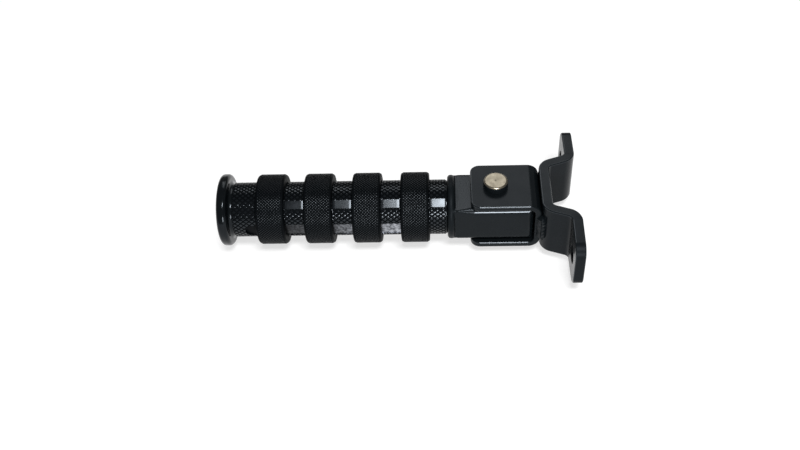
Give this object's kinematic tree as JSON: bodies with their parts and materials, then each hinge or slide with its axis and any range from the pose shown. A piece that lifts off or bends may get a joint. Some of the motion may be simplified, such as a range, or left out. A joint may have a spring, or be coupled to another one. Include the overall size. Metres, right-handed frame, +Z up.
{
  "type": "folding passenger footrest",
  "caption": "Folding motorbike passenger footrest: knurled round bar with rubber rings on a pinned clevis and a hat-section bolt plate.",
  "frame": {"origin": "midway between the two bolt holes, on the mounting face of the plate's tabs", "axes": "+X into the motorbike, out of the mounting face; +Z up along the pivot pin; the grip folds towards +Y"},
  "size_m": [0.1531, 0.074, 0.0335],
  "materials": {
    "bracket_paint": "semi-gloss black paint on steel",
    "grip_black": "gloss black, knurled",
    "ring_rubber": "matte, finely knurled",
    "plated_steel": "bright zinc plated"
  },
  "bodies": {
    "bracket": {"clevis_channel": "bracket_paint", "mounting_plate": "bracket_paint", "weld_beads": "bracket_paint", "pivot_pin": "plated_steel", "pin_washer": "plated_steel", "split_pin": "plated_steel"},
    "footrest": {"pivot_block": "bracket_paint", "grip_bar": "grip_black", "grip_bolt": "plated_steel", "bolt_washer": "plated_steel", "detent_spring": "plated_steel", "rubber_ring_1": "ring_rubber", "rubber_ring_2": "ring_rubber", "rubber_ring_3": "ring_rubber", "rubber_ring_4": "ring_rubber"},
    "detent": {"detent_ball": "plated_steel"}
  },
  "joints": [
    {"name": "fold", "type": "hinge", "parent": "bracket", "child": "footrest", "pos_m": [-0.0348, 0, 0], "axis": [0, 0, -1], "range_deg": [0, 90]},
    {"name": "detent_travel", "type": "slide", "parent": "footrest", "child": "detent", "axis": [0, 0, 1], "range_m": [0, 0.0006], "stiffness_N_per_m": 40, "springref_m": 0.002, "deforming": ["detent_spring"]}
  ]
}
